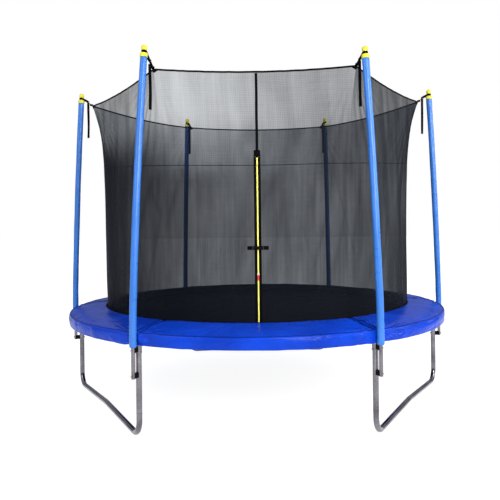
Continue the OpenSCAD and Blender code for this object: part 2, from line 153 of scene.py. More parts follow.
class Shape:
    """Collects grids of quads with their UVs in metres, and makes one mesh object of them."""

    def __init__(self):
        self.verts, self.faces, self.uvs, self.count = [], [], [], 0

    def add(self, verts, faces, uvs):
        verts = np.asarray(verts, float).reshape(-1, 3)
        self.verts.append(verts)
        self.faces += [tuple(int(i) + self.count for i in f) for f in faces]
        self.uvs.append(np.asarray(uvs).reshape(-1, 2))
        self.count += len(verts)

    def spread(self, part, count, start=0.0):
        """Copies of a one-grid part, evenly round +Z."""
        for k in range(count):
            self.add(turn_z(part.verts[0], 2 * math.pi * (k + start) / count), part.faces, part.uvs[0])

    def turn(self, angle):
        self.verts = [turn_z(v, angle) for v in self.verts]

    def close(self, start, rows, size, flip=False):
        """Flat faces over the first and last of the rings that begin at vertex start."""
        first = [start + k for k in range(size)]
        last = [start + (rows - 1) * size + k for k in range(size)]
        for ring in (first[::-1], last) if flip else (first, last[::-1]):
            self.faces.append(tuple(ring))

    def grid(self, points, wrap_rows=False, wrap_columns=False, flip=False):
        p = np.asarray(points, float)
        rows, columns = p.shape[:2]
        du = np.linalg.norm(np.diff(p, axis=1, prepend=p[:, :1]), axis=-1).cumsum(1)
        dv = np.linalg.norm(np.diff(p, axis=0, prepend=p[:1]), axis=-1).cumsum(0)
        uvs = np.stack([du, np.repeat(dv[:, :1], columns, 1)], -1)
        r = np.arange(rows if wrap_rows else rows - 1)
        c = np.arange(columns if wrap_columns else columns - 1)
        r, c = [x.ravel() for x in np.meshgrid(r, c, indexing="ij")]
        r2, c2 = (r + 1) % rows, (c + 1) % columns
        quads = np.stack([r * columns + c, r * columns + c2, r2 * columns + c2, r2 * columns + c], 1)
        if flip:
            quads = quads[:, ::-1]
        self.add(p, quads, uvs)

    def loft(self, rings):
        """A closed skin over rings of points, each ring closed."""
        p = np.asarray(rings, float)
        start = self.count
        self.grid(p, wrap_columns=True, flip=True)
        self.close(start, *p.shape[:2])

    def tube(self, path, radius, sides=12, closed=False):
        """A round tube along a path; radius is a number or one per point."""
        path = np.asarray(path, float)
        ring_n, ring_b = frames(path, closed)
        a = np.arange(sides) / sides * 2 * math.pi
        r = np.broadcast_to(np.asarray(radius, float), (len(path),))[:, None, None]
        rings = path[:, None] + r * (
            ring_n[:, None] * np.cos(a)[None, :, None] + ring_b[:, None] * np.sin(a)[None, :, None]
        )
        if closed:
            self.grid(rings, wrap_rows=True, wrap_columns=True, flip=True)
        else:
            self.loft(rings)

    def ribbon(self, path, across, width, thick, closed=False):
        """A flat strap with softly rounded edges along a path; across is its width's direction."""
        path = np.asarray(path, float)
        across = np.broadcast_to(unit(across), path.shape)
        along = tangents(path, closed)
        across = unit(across - (across * along).sum(-1, keepdims=True) * along)
        face = np.cross(along, across)
        w = np.broadcast_to(np.asarray(width, float), (len(path),))[:, None, None]
        section = np.array(
            [(-0.5, -0.3), (-0.47, -0.5), (-0.25, -0.5), (0, -0.5), (0.25, -0.5), (0.47, -0.5),
             (0.5, -0.3), (0.5, 0.3), (0.47, 0.5), (0.25, 0.5), (0, 0.5), (-0.25, 0.5),
             (-0.47, 0.5), (-0.5, 0.3)]
        )
        rings = (
            path[:, None]
            + across[:, None] * w * section[None, :, :1]
            + face[:, None] * thick * section[None, :, 1:]
        )
        start = self.count
        self.grid(rings, wrap_rows=closed, wrap_columns=True)
        if not closed:
            self.close(start, len(path), len(section), flip=True)

    def block(self, low, high, soft=0.0008):
        """A box with rounded edges, from low to high."""
        low, high = np.asarray(low, float), np.asarray(high, float)
        half, mid = (high - low) / 2, (high + low) / 2
        soft = min(soft, *(half * 0.9))
        rings = []
        levels = [(-half[2], -soft * 0.99), (-half[2] + soft * 0.3, -soft * 0.3), (-half[2] + soft, 0),
                  (half[2] - soft, 0), (half[2] - soft * 0.3, -soft * 0.3), (half[2], -soft * 0.99)]
        for z, inset in levels:
            ring = []
            for cx, cy, a0 in ((1, 1, 0), (-1, 1, 90), (-1, -1, 180), (1, -1, 270)):
                for k in range(4):
                    a = math.radians(a0 + 30 * k)
                    r = max(soft + inset, 0.00005)
                    ring.append((cx * (half[0] - soft) + r * math.cos(a),
                                 cy * (half[1] - soft) + r * math.sin(a), z))
            rings.append(ring)
        self.loft(np.array(rings) + mid)

    def lathe(self, profile, sides=48):
        """A turned shape round +Z from (radius, height) pairs, closed by a flat at both ends."""
        a = np.arange(sides) / sides * 2 * math.pi
        pr = np.asarray(profile, float)
        rings = np.stack(
            [pr[:, :1] * np.cos(a), pr[:, :1] * np.sin(a), np.repeat(pr[:, 1:], sides, 1)], -1
        )
        self.loft(rings)

    def object(self, name, material, move=None):
        verts = np.concatenate(self.verts)
        if move is not None:
            m = np.array(move)
            verts = verts @ m[:3, :3].T + m[:3, 3]
        mesh = bpy.data.meshes.new(name)
        mesh.from_pydata(verts.tolist(), [], self.faces)
        mesh.materials.append(material)
        mesh.polygons.foreach_set("use_smooth", [True] * len(mesh.polygons))
        layer = mesh.uv_layers.new(name="metres")
        index = np.zeros(len(mesh.loops), int)
        mesh.loops.foreach_get("vertex_index", index)
        layer.data.foreach_set("uv", np.concatenate(self.uvs)[index].ravel())
        mesh.update()
        obj = bpy.data.objects.new(name, mesh)
        scene.collection.objects.link(obj)
        return obj


def tangents(path, closed=False):
    if closed:
        return unit(np.roll(path, -1, 0) - np.roll(path, 1, 0))
    return unit(np.gradient(path, axis=0))


def frames(path, closed=False):
    """Two directions across a path at each point, turning as little as possible."""
    t = tangents(path, closed)
    start = np.array([0, 0, 1.0]) if abs(t[0][2]) < 0.9 else np.array([0, 1.0, 0])
    normals = [unit(start - (start @ t[0]) * t[0])]
    for k in range(1, len(path)):
        n = normals[-1] - (normals[-1] @ t[k]) * t[k]
        normals.append(unit(n))
    n = np.array(normals)
    return n, np.cross(t, n)


def rounded(points, radius, steps=6, closed=False):
    """A path through the points with its corners rounded."""
    p = [np.asarray(x, float) for x in points]
    n = len(p)
    out = []
    for k in range(n):
        if not closed and k in (0, n - 1):
            out.append(p[k])
            continue
        a, b, c = p[k - 1], p[k], p[(k + 1) % n]
        r = min(radius, 0.45 * np.linalg.norm(a - b), 0.45 * np.linalg.norm(c - b))
        s, e = b + unit(a - b) * r, b + unit(c - b) * r
        for j in range(steps + 1):
            q = j / steps
            out.append(s * (1 - q) ** 2 + b * 2 * q * (1 - q) + e * q * q)
    return np.array(out)


def sharpen(obj, angle=40):
    """Smooth shading with hard edges where faces meet at a steep angle."""
    for poly in obj.data.polygons:
        poly.use_smooth = True
    with bpy.context.temp_override(object=obj, active_object=obj, selected_objects=[obj],
                                   selected_editable_objects=[obj]):
        bpy.ops.object.shade_smooth_by_angle(angle=math.radians(angle))


# ------------ materials
class Nodes:
    """Builds a material's node tree with short calls."""

    def __init__(self, name):
        self.material = bpy.data.materials.new(name)
        self.material.use_nodes = True
        self.tree = self.material.node_tree
        self.shader = self.tree.nodes["Principled BSDF"]
        self.out = self.tree.nodes["Material Output"]

    def new(self, kind, inputs=(), **settings):
        n = self.tree.nodes.new("ShaderNode" + kind)
        for key, value in settings.items():
            setattr(n, key, value)
        for key, value in dict(inputs).items():
            self.put(n.inputs[key], value)
        return n

    def put(self, socket, value):
        if isinstance(value, bpy.types.NodeSocket):
            self.tree.links.new(value, socket)
        elif isinstance(value, bpy.types.Node):
            self.tree.links.new(value.outputs[0], socket)
        else:
            socket.default_value = value

    def set(self, **inputs):
        names = {"color": "Base Color", "metal": "Metallic", "rough": "Roughness",
                 "specular": "Specular IOR Level", "normal": "Normal"}
        for key, value in inputs.items():
            self.put(self.shader.inputs[names[key]], value)
        return self.material

    def place(self, kind="Object", scale=(1, 1, 1), turn=(0, 0, 0)):
        c = self.new("TexCoord").outputs[kind]
        return self.new("Mapping", {"Vector": c, "Scale": scale, "Rotation": turn}).outputs[0]

    def noise(self, scale, detail=3.0, vector=None, rough=0.5, distortion=0.0):
        return self.new("TexNoise", {"Vector": vector or self.place(), "Scale": scale, "Detail": detail,
                                     "Roughness": rough, "Distortion": distortion}).outputs[0]

    def math(self, operation, a, b=0.0):
        return self.new("Math", {0: a, 1: b}, operation=operation).outputs[0]

    def span(self, value, low, high, to_low, to_high):
        return self.new("MapRange", {"Value": value, "From Min": low, "From Max": high,
                                     "To Min": to_low, "To Max": to_high}).outputs[0]

    def mix(self, share, a, b):
        n = self.new("Mix", data_type="RGBA")
        self.put(n.inputs[0], share)
        self.put(n.inputs[6], (*a, 1) if isinstance(a, tuple) else a)
        self.put(n.inputs[7], (*b, 1) if isinstance(b, tuple) else b)
        return n.outputs[2]

    def bump(self, height, strength, distance, under=None):
        inputs = {"Height": height, "Strength": strength, "Distance": distance}
        if under is not None:
            inputs["Normal"] = under
        return self.new("Bump", inputs).outputs[0]

    def weave(self, pitch_u, pitch_v, kind="UV"):
        """Crossing threads, from 0 in the gaps to 1 on the threads' crowns."""
        p = self.place(kind)
        waves = [self.new("TexWave", {"Vector": p, "Scale": 0.5 / pitch / math.pi}, bands_direction=axis)
                 for pitch, axis in ((pitch_u, "X"), (pitch_v, "Y"))]
        return self.math("MULTIPLY", waves[0].outputs[1], waves[1].outputs[1])


def steel(name, low, high, rough, streak):
    n = Nodes(name)
    cloud = n.noise(9.0, 4.0)
    fine = n.noise(140.0, 3.0)
    scratch = n.noise(60.0, 2.0, n.place(scale=(1, 1, streak)))
    share = n.math("ADD", n.math("MULTIPLY", cloud, 0.55), n.math("MULTIPLY", fine, 0.45))
    colour = n.mix(n.span(share, 0.35, 0.65, 0, 1), low, high)
    r = n.span(n.math("ADD", cloud, n.math("MULTIPLY", scratch, 0.5)), 0.5, 1.0, rough - 0.05, rough + 0.09)
    normal = n.bump(fine, 0.25, 0.0002, n.bump(scratch, 0.2, 0.0002))
    return n.set(color=colour, metal=1.0, rough=r, normal=normal)


def vinyl(name, dark, light, grain, crease, specular, rough=0.30):
    n = Nodes(name)
    cloud = n.noise(5.0, 3.0)
    colour = n.mix(n.span(cloud, 0.35, 0.65, 0, 1), dark, light)
    leather = n.new("TexVoronoi", {"Vector": n.place(), "Scale": grain}, feature="DISTANCE_TO_EDGE")
    folds = n.noise(16.0, 4.0, distortion=0.6)
    small = n.noise(70.0, 3.0, distortion=0.3)
    normal = n.bump(leather.outputs[0], 0.08, 0.0002)
    normal = n.bump(small, 0.12, 0.0012 * crease, normal)
    normal = n.bump(folds, 0.16, 0.005 * crease, normal)
    r = n.span(n.noise(30.0, 3.0), 0.3, 0.7, rough - 0.04, rough + 0.07)
    return n.set(color=colour, rough=r, specular=specular, normal=normal)


def plastic(name, colour, other, rough, specular=0.5):
    n = Nodes(name)
    cloud = n.noise(40.0, 3.0)
    fine = n.noise(900.0, 2.0)
    return n.set(color=n.mix(n.span(cloud, 0.35, 0.65, 0, 1), colour, other),
                 rough=n.span(fine, 0.3, 0.7, rough - 0.04, rough + 0.06), specular=specular,
                 normal=n.bump(fine, 0.2, 0.0002, n.bump(cloud, 0.15, 0.0006)))


def cloth(name, colour, other, pitch_u, pitch_v, kind="UV"):
    n = Nodes(name)
    threads = n.weave(pitch_u, pitch_v, kind)
    worn = n.noise(24.0, 4.0)
    colour = n.mix(n.math("MULTIPLY", threads, n.span(worn, 0.3, 0.7, 0.4, 1.0)), colour, other)
    return n.set(color=colour, rough=n.span(worn, 0.3, 0.7, 0.62, 0.8), specular=0.04,
                 normal=n.bump(threads, 0.6, 0.0006, n.bump(worn, 0.3, 0.001)))


NET_OPEN = 0.30


def net_material():
    """A knitted net, which lets less light through the more aslant it is seen, as its threads have depth."""
    n = Nodes("net_mesh")
    facing = n.new("LayerWeight", {"Blend": 0.5}).outputs["Facing"]
    cosine = n.span(facing, 0.0, 1.0, 1.0, 0.13)
    wide = n.noise(2.6, 3.0, n.place(scale=(1, 1, 0.4)))
    runs = n.noise(45.0, 2.0, n.place("UV", scale=(1, 0.03, 1)))
    rows = n.noise(80.0, 2.0, n.place("UV", scale=(0.05, 1, 1)))
    loops = n.weave(0.006, 0.006)
    lines = n.math("ADD", n.math("MULTIPLY", runs, 1.3), n.math("MULTIPLY", rows, 0.7))
    creases = n.noise(9.0, 4.0, n.place("UV", scale=(1, 0.22, 1)), distortion=0.5)
    # this attribute adds the net's painted shade along its folds and painted light on its right side
    tight = n.new("Attribute", attribute_name="tight", attribute_type="GEOMETRY").outputs["Fac"]
    open_share = NET_OPEN
    for part in (n.span(wide, 0.3, 0.7, -0.03, 0.03), n.span(creases, 0.3, 0.7, -0.045, 0.045),
                 n.span(lines, 0.6, 1.4, -0.045, 0.045), n.span(loops, 0.0, 1.0, 0.05, -0.08), tight):
        open_share = n.math("ADD", open_share, part)
    seen = n.math("POWER", open_share, n.math("DIVIDE", 1.0, cosine))
    threads = n.new("BsdfPrincipled")
    n.put(threads.inputs["Base Color"], n.mix(loops, (0.003, 0.0037, 0.0056), (0.009, 0.011, 0.018)))
    threads.inputs["Roughness"].default_value = 0.6
    threads.inputs["Specular IOR Level"].default_value = 0.03
    n.put(threads.inputs["Normal"], n.bump(loops, 0.6, 0.002, n.bump(lines, 0.4, 0.003)))
    clear = n.new("BsdfTransparent", {"Color": (0.95, 0.975, 1.0, 1)})
    both = n.new("MixShader", {0: seen, 1: threads.outputs[0], 2: clear.outputs[0]})
    n.tree.links.new(both.outputs[0], n.out.inputs["Surface"])
    n.tree.nodes.remove(n.shader)
    return n.material


FINISHES = {
    "galvanised_steel": (steel, (0.10, 0.093, 0.106), (0.25, 0.235, 0.26), 0.12, 0.05),
    "spring_steel": (steel, (0.45, 0.46, 0.47), (0.68, 0.68, 0.70), 0.24, 1.0),
    "zinc_fasteners": (steel, (0.2, 0.2, 0.2), (0.36, 0.36, 0.35), 0.22, 1.0),
    "slider_metal": (steel, (0.72, 0.72, 0.72), (0.85, 0.85, 0.84), 0.3, 1.0),
    "sleeve_pvc": (vinyl, (0.020, 0.125, 0.43), (0.028, 0.145, 0.50), 420.0, 0.45, 0.4),
    "pad_vinyl": (vinyl, (0.0005, 0.028, 0.33), (0.001, 0.040, 0.44), 380.0, 1.0, 0.12),
    # real piping, coloured darker than the pad as painted shade along the pads' edges and in the seams
    # between them
    "piping_painted_shade": (vinyl, (0.0005, 0.006, 0.07), (0.0005, 0.009, 0.10), 380.0, 0.2, 0.1),
    "cap_plastic": (plastic, (0.56, 0.50, 0.012), (0.66, 0.60, 0.02), 0.34),
    "black_plastic": (plastic, (0.001, 0.001, 0.0012), (0.003, 0.003, 0.0035), 0.45, 0.04),
    "zip_teeth": (plastic, (0.80, 0.72, 0.10), (0.88, 0.82, 0.16), 0.35),
    "puller_red": (plastic, (0.55, 0.012, 0.010), (0.70, 0.02, 0.015), 0.3),
    "mat_fabric": (cloth, (0.005, 0.005, 0.0055), (0.017, 0.016, 0.018), 0.0024, 0.0024, "Object"),
    "webbing": (cloth, (0.0008, 0.0008, 0.001), (0.004, 0.004, 0.0045), 0.0018, 0.0012),
    "zip_tape": (cloth, (0.001, 0.001, 0.0012), (0.005, 0.005, 0.0055), 0.0010, 0.0016),
}
MAT = {name: make(name, *values) for name, (make, *values) in FINISHES.items()}
MAT["net_mesh"] = net_material()


def made(shape, name, slot, body="frame", replaces=(), move=None, ride=True):
    obj = shape.object(name, MAT[slot], move)
    if ride:
        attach(obj, body)
    if replaces:
        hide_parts(*replaces)
    return obj


# ------------ the poles' curve
def pole_at(i, s):
    """Radius, height and lean of pole i at length s along its foam sleeve."""
    s = np.asarray(s, float)
    bend2 = SLEEVE_LENGTH[i] - BEND1
    a1 = FLEX[i] / (BEND1 / 2 + bend2 + GROWTH * bend2 / 2)
    r1, r2 = BEND1 / a1, bend2 / (a1 * GROWTH)
    x1, z1 = POLE_R - r1 * (1 - math.cos(a1)), SLEEVE_LOW + r1 * math.sin(a1)
    low = s <= BEND1
    a = np.where(low, s / r1, a1 + (s - BEND1) / r2)
    x = np.where(low, POLE_R - r1 * (1 - np.cos(a)), x1 - r2 * (math.cos(a1) - np.cos(a)))
    z = np.where(low, SLEEVE_LOW + r1 * np.sin(a), z1 + r2 * (np.sin(a) - math.sin(a1)))
    return x, z, a


def pole_top(i):
    x, z, a = pole_at(i, SLEEVE_LENGTH[i])
    return float(x), float(z), float(a)


def top_frame(i):
    x, z, a = pole_top(i)
    return (Matrix.Rotation(STEP * i, 4, "Z") @ Matrix.Translation((x, 0, z)) @ Matrix.Rotation(-a, 4, "Y"))


def corner(i):
    r = pole_top(i % SIDES)[0] - NET_REACH
    return np.array([r * math.cos(STEP * i), r * math.sin(STEP * i)])


# ------------ the net's surface
def bump(s):
    return 4 * s * (1 - s)


def rim_z(s):
    return NET_TOP - RIM_SAG * bump(s)


def net_at(i, s, v, off=0.0):
    s, v = np.broadcast_arrays(np.asarray(s, float), np.asarray(v, float))
    z = NET_LOW + v * (rim_z(s) - NET_LOW)
    flare = np.maximum(0, (z - FLARE_Z) / (NET_TOP - FLARE_Z)) ** 2.2
    pull = flare * (1 - bump(s)) + v * bump(s)
    a = STEP * (i + s)
    circle = NET_R * np.stack([np.cos(a), np.sin(a)], -1)
    chord = corner(i) * (1 - s[..., None]) + corner(i + 1) * s[..., None]
    plan = circle * (1 - pull[..., None]) + chord * pull[..., None]
    r = np.linalg.norm(plan, axis=-1, keepdims=True)
    plan = plan * (1 + np.asarray(off)[..., None] / r)
    return np.concatenate([plan, z[..., None]], -1)


FRONT_MID = -(corner(FRONT)[1] + corner(FRONT + 1)[1]) / 2
LEAN = math.atan2(NET_R - FRONT_MID, NET_TOP - RIM_SAG - NET_LOW)
DOOR = Matrix.Translation((ZIP_X, -NET_R, NET_LOW)) @ Matrix.Rotation(-LEAN, 4, "X")


def along(z):
    return (z - NET_LOW) / math.cos(LEAN)


# ------------ corner straps, the hanging ends first
def corner_frame(i):
    """Where the strap at pole i starts, is knotted and ends, in the pole's own radial frame."""
    x, z, _ = pole_top(i)
    inner = x - NET_REACH
    drop = z + COLLAR_H + NECK_H / 2 - NET_TOP - 0.012
    knot = np.array([inner + 0.45 * (x - NECK_R - inner), 0, NET_TOP + 0.012 + 0.45 * drop])
    return inner, knot


def strap_tail(i):
    _, knot = corner_frame(i)
    top = NET_TOP + 0.026
    t = np.linspace(0, 1, 31)
    sway = Noise(40 + i)
    turn = math.radians(TAIL_TURN[i])
    face = np.array([math.cos(turn), math.sin(turn), 0])
    side = np.array([-math.sin(turn), math.cos(turn), 0])
    lean = (0.0045 * np.sin(t * 3.0 + i) * t)[:, None] * face
    drift = (0.004 * sway(t * 2.0, 0.5) * t)[:, None] * side
    path = np.array([knot[0], 0, top]) + xyz(0, 0, -TAIL_LENGTH * t) + lean + drift
    twist = 0.35 * np.sin(t * 4.0 + 1.7 * i) * t
    across = np.cos(twist)[:, None] * side + np.sin(twist)[:, None] * face
    shape = Shape()
    shape.ribbon(path, across, STRAP_W * (1 - 0.06 * smooth(t, 0.97, 1.0)), 0.0016)
    shape.turn(STEP * i)
    world = turn_z(path, STEP * i)
    piece = made(shape, f"strap_tail_{i + 1}", "webbing", replaces=["strap_tails"])


def strap(i):
    """A webbing loop round the cap's neck, a knot, and the strap on to the net's corner."""
    x, z, a = pole_top(i)
    inner, knot = corner_frame(i)
    lean = np.array([-math.sin(a), 0, math.cos(a)])
    level = COLLAR_H + 0.0105
    mid = np.array([x, 0, z]) + level * lean
    shape = Shape()
    ring = [knot + (0.004, 0.003, 0.004)]
    for deg in range(130, -131, -13):
        q = math.radians(deg)
        around = np.array([math.cos(q) * math.cos(a), math.sin(q), math.cos(q) * math.sin(a)])
        ring.append(mid + 0.0172 * around)
    ring.append(knot + (0.004, -0.003, 0.004))
    ring = np.array(ring)
    fine = np.concatenate([
        ring[0] + (ring[1] - ring[0]) * np.linspace(0, 1, 8)[:-1, None], ring[1:-2],
        ring[-2] + (ring[-1] - ring[-2]) * np.linspace(0, 1, 8)[:, None]])
    shape.ribbon(fine, np.tile(lean, (len(fine), 1)), 0.0185, 0.0017)
    t = np.linspace(0, 1, 12)
    end = np.array([inner + 0.001, 0, NET_TOP + 0.001])
    for side in (-1, 1):
        path = knot + (end - knot) * t[:, None] + xyz(0, side * 0.0012, -0.004 * np.sin(math.pi * t))
        twist = 0.5 * side * np.sin(t * math.pi)
        across = xyz(0.3 * np.sin(twist), np.cos(twist), np.sin(twist))
        shape.ribbon(path, across, STRAP_W * (0.85 + 0.15 * smooth(t)), 0.0018)
    q = np.linspace(0, 2 * math.pi, 61)[:-1]
    trefoil = xyz(np.sin(q) + 2 * np.sin(2 * q), np.cos(q) - 2 * np.cos(2 * q), -1.1 * np.sin(3 * q))
    across = xyz(0.2, np.sin(q * 2), np.cos(q * 2))
    shape.ribbon(knot + trefoil * 0.0030 + (0.001, 0, 0.001), across, 0.0090, 0.0028, closed=True)
    shape.ribbon(knot + 0.8 * (end - knot) + trefoil * 0.0034, across, 0.0110, 0.0030, closed=True)
    shape.turn(STEP * i)
    made(shape, f"corner_strap_{i + 1}", "webbing", replaces=["net_straps"])


for pole in range(SIDES):
    strap_tail(pole)
for pole in range(SIDES):
    strap(pole)


# ------------ net
def net_fold(i, s, v):
    """How far the slack cloth stands off its smooth shape."""
    z = NET_LOW + v * (NET_TOP - NET_LOW)
    length = NET_W * s
    rough = Noise(100 + i)
    streaks = rough.octaves(length * 9.0, z * 1.1, 2) * 0.0035
    fan = np.minimum(s, 1 - s)
    angle = np.arctan2(fan * NET_W, np.maximum(NET_TOP + 0.02 - z, 0.02))
    pull = np.sin(angle * 34 + 2 * rough(z * 2, length)) * 0.0035
    pull = pull * smooth(v, 0.45, 0.85) * smooth(0.36 - fan, 0, 0.3)
    low = rough(length * 4 + 30, z * 3) * 0.004 * smooth(0.35 - v, 0, 0.3)
    hold = smooth(s, 0, 0.035) * smooth(1 - s, 0, 0.035) * smooth(1 - v, 0, 0.03) * smooth(v, 0, 0.02)
    if i == FRONT:
        door = np.abs(NET_W * (s - 0.5) - ZIP_X)
        hold = hold * smooth(door, 0.030, 0.10)
    return (streaks + pull + low) * hold


def openness_painted_light_shade(i, s, points):
    """How much more light the net lets through than its usual share, with light and shade painted in: less
    in its folds as painted shade, more near the rim on the left, and as painted light more on the right,
    most halfway up at the far right."""
    x, z = points[..., 0], points[..., 2]
    drape = Noise(500 + i)
    # painted shade: the net lets less light through along its folds
    folds = ridged(drape((NET_W * s - 0.30 * z) * 6.5, z * 0.9) * 1.5, 4)
    folds = folds * smooth(drape(s * 4, z * 1.5 + 20), -0.1, 0.5)
    folds = folds * (1 - smooth(z - 1.9, 0, 0.3)) * smooth(np.minimum(s, 1 - s), 0, 0.04)
    rim = smooth(z - 1.78, 0, 0.34) * (0.15 - 0.14 * np.tanh(x / 0.3))
    # painted light: the net lets more light through on the right, most halfway up at the far right
    right = 0.13 * smooth(x - 0.3, 0, 0.9)
    halfway = 0.12 * smooth(x - 0.9, 0, 0.3) * np.exp(-((z - 1.55) / 0.33) ** 2)
    return rim - 0.09 * folds + right + halfway


def net_panel(i):
    columns = np.linspace(0, 1, 97)
    rows = np.linspace(0, 1, 121)
    if i == FRONT:
        sides = 0.5 + (ZIP_X + np.array([-ZIP_HALF, ZIP_HALF])) / CHORD
        ends = (np.array([ZIP_LOW, ZIP_HIGH]) - NET_LOW) / (NET_TOP - RIM_SAG - NET_LOW)
        columns = columns[(columns < sides[0] - 0.004) | (columns > sides[1] + 0.004)]
        rows = rows[(abs(rows - ends[0]) > 0.004) & (abs(rows - ends[1]) > 0.004)]
        columns, rows = np.sort(np.append(columns, sides)), np.sort(np.append(rows, ends))
    v, s = np.meshgrid(rows, columns, indexing="ij")
    points = net_at(i, s, v, net_fold(i, s, v))
    shape = Shape()
    shape.grid(points)
    if i == FRONT:
        left, right = np.searchsorted(columns, sides)
        low, high = np.searchsorted(rows, ends)
        n = len(columns)
        shape.faces = [f for f in shape.faces
                       if not (left <= min(f) % n < right and low <= min(f) // n < high)]
    piece = made(shape, f"net_{i + 1}", "net_mesh", replaces=[f"net_panel_{i + 1}"])
    # stores the net's painted shade along its folds and painted light on its right side, as extra openness
    tight = piece.data.attributes.new("tight", "FLOAT", "POINT")
    tight.data.foreach_set("value", openness_painted_light_shade(i, s, points).ravel().astype(np.float32))


def band(v_of, section, name, slot, replaces=(), steps=48, pucker=0.0, sides=range(SIDES)):
    """A tape along the net at height share v(i, s), with the given (offset, height) section."""
    rings = []
    ripple = Noise(7)
    whole = len(sides) == SIDES
    for i in sides:
        for k in range(steps + (not whole and i == sides[-1])):
            s = k / steps
            jitter = pucker * float(ripple((i + s) * 40, 0.3))
            ring = []
            for off, dz in section:
                p = net_at(i, s, v_of(i, s), off + jitter)
                ring.append(p + (0, 0, dz + 0.6 * jitter))
            rings.append(ring)
    shape = Shape()
    shape.grid(np.array(rings), wrap_rows=whole, wrap_columns=True, flip=True)
    return made(shape, name, slot, replaces=replaces)


def seam_share(i, s):
    """Height share of the seam across the front, lowest at the door."""
    return (1.738 + 0.125 * (1 + math.sin(STEP * (i + s))) - NET_LOW) / (rim_z(s) - NET_LOW)


RIM_SECTION = [(-0.0017, -0.006), (-0.0020, -0.002), (-0.0018, 0.003), (-0.0008, 0.006), (0.0008, 0.006),
               (0.0018, 0.003), (0.0020, -0.002), (0.0017, -0.006), (0.0009, -0.0064), (-0.0009, -0.0064)]
HEM_SECTION = [(-0.0011, 0.0), (-0.0013, 0.030), (-0.0013, 0.060), (-0.0010, 0.0775), (0.0010, 0.0775),
               (0.0013, 0.060), (0.0013, 0.030), (0.0011, 0.0)]
SEAM_SECTION = [(-0.0007, -0.002), (-0.0009, 0.0), (-0.0007, 0.002), (0.0007, 0.002), (0.0009, 0.0),
                (0.0007, -0.002)]
band(lambda i, s: 1.0, RIM_SECTION, "net_binding", "webbing", ["net_bindings"], pucker=0.0012)
band(lambda i, s: 0.0, HEM_SECTION, "net_hem", "webbing", pucker=0.0004)
band(seam_share, SEAM_SECTION, "net_seam", "net_mesh", pucker=0.0004, sides=[FRONT - 1, FRONT, FRONT + 1])
for panel in range(SIDES):
    net_panel(panel)


def corner_patch(i):
    """Webbing sewn over the net's corner on both sides."""
    reach, deep = 0.020, 0.013
    rings = []
    for q in np.linspace(-1, 1, 17):
        k, s = ((i - 1) % SIDES, 1 + q * reach) if q < 0 else (i, q * reach)
        depth = deep * (1 - 0.75 * abs(q))
        ring = []
        for off, share in ((0.0026, 0), (0.0030, 0.5), (0.0026, 1),
                           (-0.0026, 1), (-0.0030, 0.5), (-0.0026, 0)):
            ring.append(net_at(k, s, 1.0 - depth * share, off) + (0, 0, 0.004 * (1 - share)))
        rings.append(ring)
    shape = Shape()
    shape.loft(np.array(rings))
    made(shape, f"net_corner_{i + 1}", "webbing")


for pole in range(SIDES):
    corner_patch(pole)

# ------------ door: tapes, zip, slider, buckle
# Its pieces are made in the zip's own frame: x across it, -y outwards, z up along the net from its foot.
low, high = along(ZIP_LOW) + 0.001, along(ZIP_HIGH) - 0.001
bz, by = along(BUCKLE_Z), BUCKLE_Y
PATCH_X = 0.056  # middle of the patches that hold the buckle's webbing
ACROSS = (1.0, 0, 0)


def door_bindings():
    shape = Shape()
    top = along(NET_TOP - RIM_SAG) - 0.009
    for offset in (-0.0022, 0.0022):
        heights = np.linspace(high - 0.006, top, 40)
        shape.ribbon(xyz(0.0004 * np.sin(heights * 21), offset, heights), ACROSS, 0.0180, 0.0013)
    for x in (-0.0195, 0.0195):
        heights = np.linspace(low - 0.012, high + 0.012, 90)
        shape.ribbon(xyz(x + 0.0003 * np.sin(heights * 33), -0.0016, heights), ACROSS, 0.0062, 0.0016)
    shape.block((-0.021, -0.0052, high + 0.002), (0.021, -0.0034, high + 0.042))
    shape.block((-0.021, 0.0016, high + 0.002), (0.021, 0.0032, high + 0.042))
    shape.block((-0.022, -0.0048, low - 0.014), (0.022, -0.0030, low + 0.006))
    for x in (-PATCH_X, PATCH_X):
        shape.block((x - 0.013, -0.0036, bz - 0.0125), (x + 0.013, -0.0016, bz + 0.0125))
    made(shape, "door_bindings", "webbing", replaces=["net_bindings"], move=DOOR)


def door_stitching():
    """Single stitches round the patch over the zip, and an X of them on each of the buckle's patches."""
    shape = Shape()
    z0, z1, half, pitch, soft = high + 0.005, high + 0.039, 0.0185, 0.0045, 0.0004
    for x in (-half, half):
        for z in np.arange(z0, z1, pitch):
            shape.block((x - 0.0006, -0.0062, z), (x + 0.0006, -0.0050, z + 0.0032), soft)
    for z in (z0 - 0.001, z1 + 0.001):
        for x in np.arange(-half, half, pitch):
            shape.block((x, -0.0062, z - 0.0006), (x + 0.0032, -0.0050, z + 0.0006), soft)
    for patch in (-PATCH_X, PATCH_X):
        for k in np.linspace(-1, 1, 9):
            for rise in (-0.0088, 0.0088):
                x, z = patch + 0.0096 * k, bz + rise * k
                shape.block((x - 0.0011, -0.0042, z - 0.0006), (x + 0.0011, -0.0032, z + 0.0006), soft)
    made(shape, "door_stitching", "webbing", move=DOOR)


def zip_tapes():
    shape = Shape()
    heights = np.linspace(low, high, 120)
    for x in (-0.0110, 0.0110):
        shape.ribbon(xyz(x, 0.0002 * np.sin(heights * 60), heights), ACROSS, 0.0140, 0.0011)
    made(shape, "zip_tape", "zip_tape", replaces=["zip_tapes"], move=DOOR)


